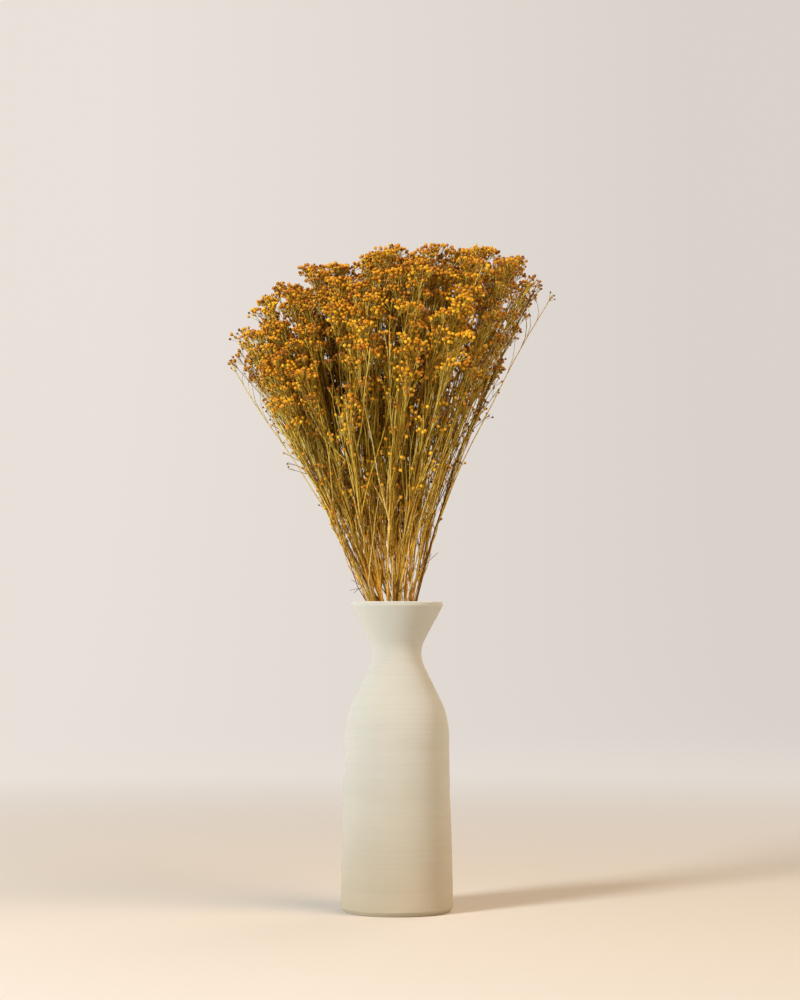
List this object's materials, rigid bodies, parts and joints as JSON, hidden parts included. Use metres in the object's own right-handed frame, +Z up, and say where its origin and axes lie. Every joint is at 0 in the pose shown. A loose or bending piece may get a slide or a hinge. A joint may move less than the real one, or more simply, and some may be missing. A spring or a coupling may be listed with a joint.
{
  "type": "vase of dried broom blooms",
  "caption": "Slender matte stoneware bottle vase with a waisted neck and flared mouth, holding a fan-shaped bundle of dried branching sprays that end in round golden seed pods.",
  "frame": {"origin": "centre of the vase's foot, on the face that it stands on", "axes": "+Z up along the vase's axis, the front faces -Y, and +X is to the viewer's right"},
  "size_m": [0.2731, 0.1812, 0.5442],
  "materials": {
    "stoneware": "matte unglazed",
    "dried_plant": "dry stems with slightly glossy pods"
  },
  "bodies": {
    "root": {"vase": "stoneware", "spray_01": "dried_plant", "spray_02": "dried_plant", "spray_03": "dried_plant", "spray_04": "dried_plant", "spray_05": "dried_plant", "spray_06": "dried_plant", "spray_07": "dried_plant", "spray_08": "dried_plant", "spray_09": "dried_plant", "spray_10": "dried_plant", "spray_11": "dried_plant", "spray_12": "dried_plant", "spray_13": "dried_plant", "spray_14": "dried_plant", "spray_15": "dried_plant", "spray_16": "dried_plant", "spray_17": "dried_plant", "spray_18": "dried_plant", "spray_19": "dried_plant", "spray_20": "dried_plant", "spray_21": "dried_plant", "spray_22": "dried_plant", "spray_23": "dried_plant", "spray_24": "dried_plant", "spray_25": "dried_plant", "spray_26": "dried_plant", "spray_27": "dried_plant", "spray_28": "dried_plant", "spray_29": "dried_plant", "spray_30": "dried_plant", "spray_31": "dried_plant", "spray_32": "dried_plant", "spray_33": "dried_plant", "spray_34": "dried_plant", "spray_35": "dried_plant", "spray_36": "dried_plant"}
  },
  "joints": []
}
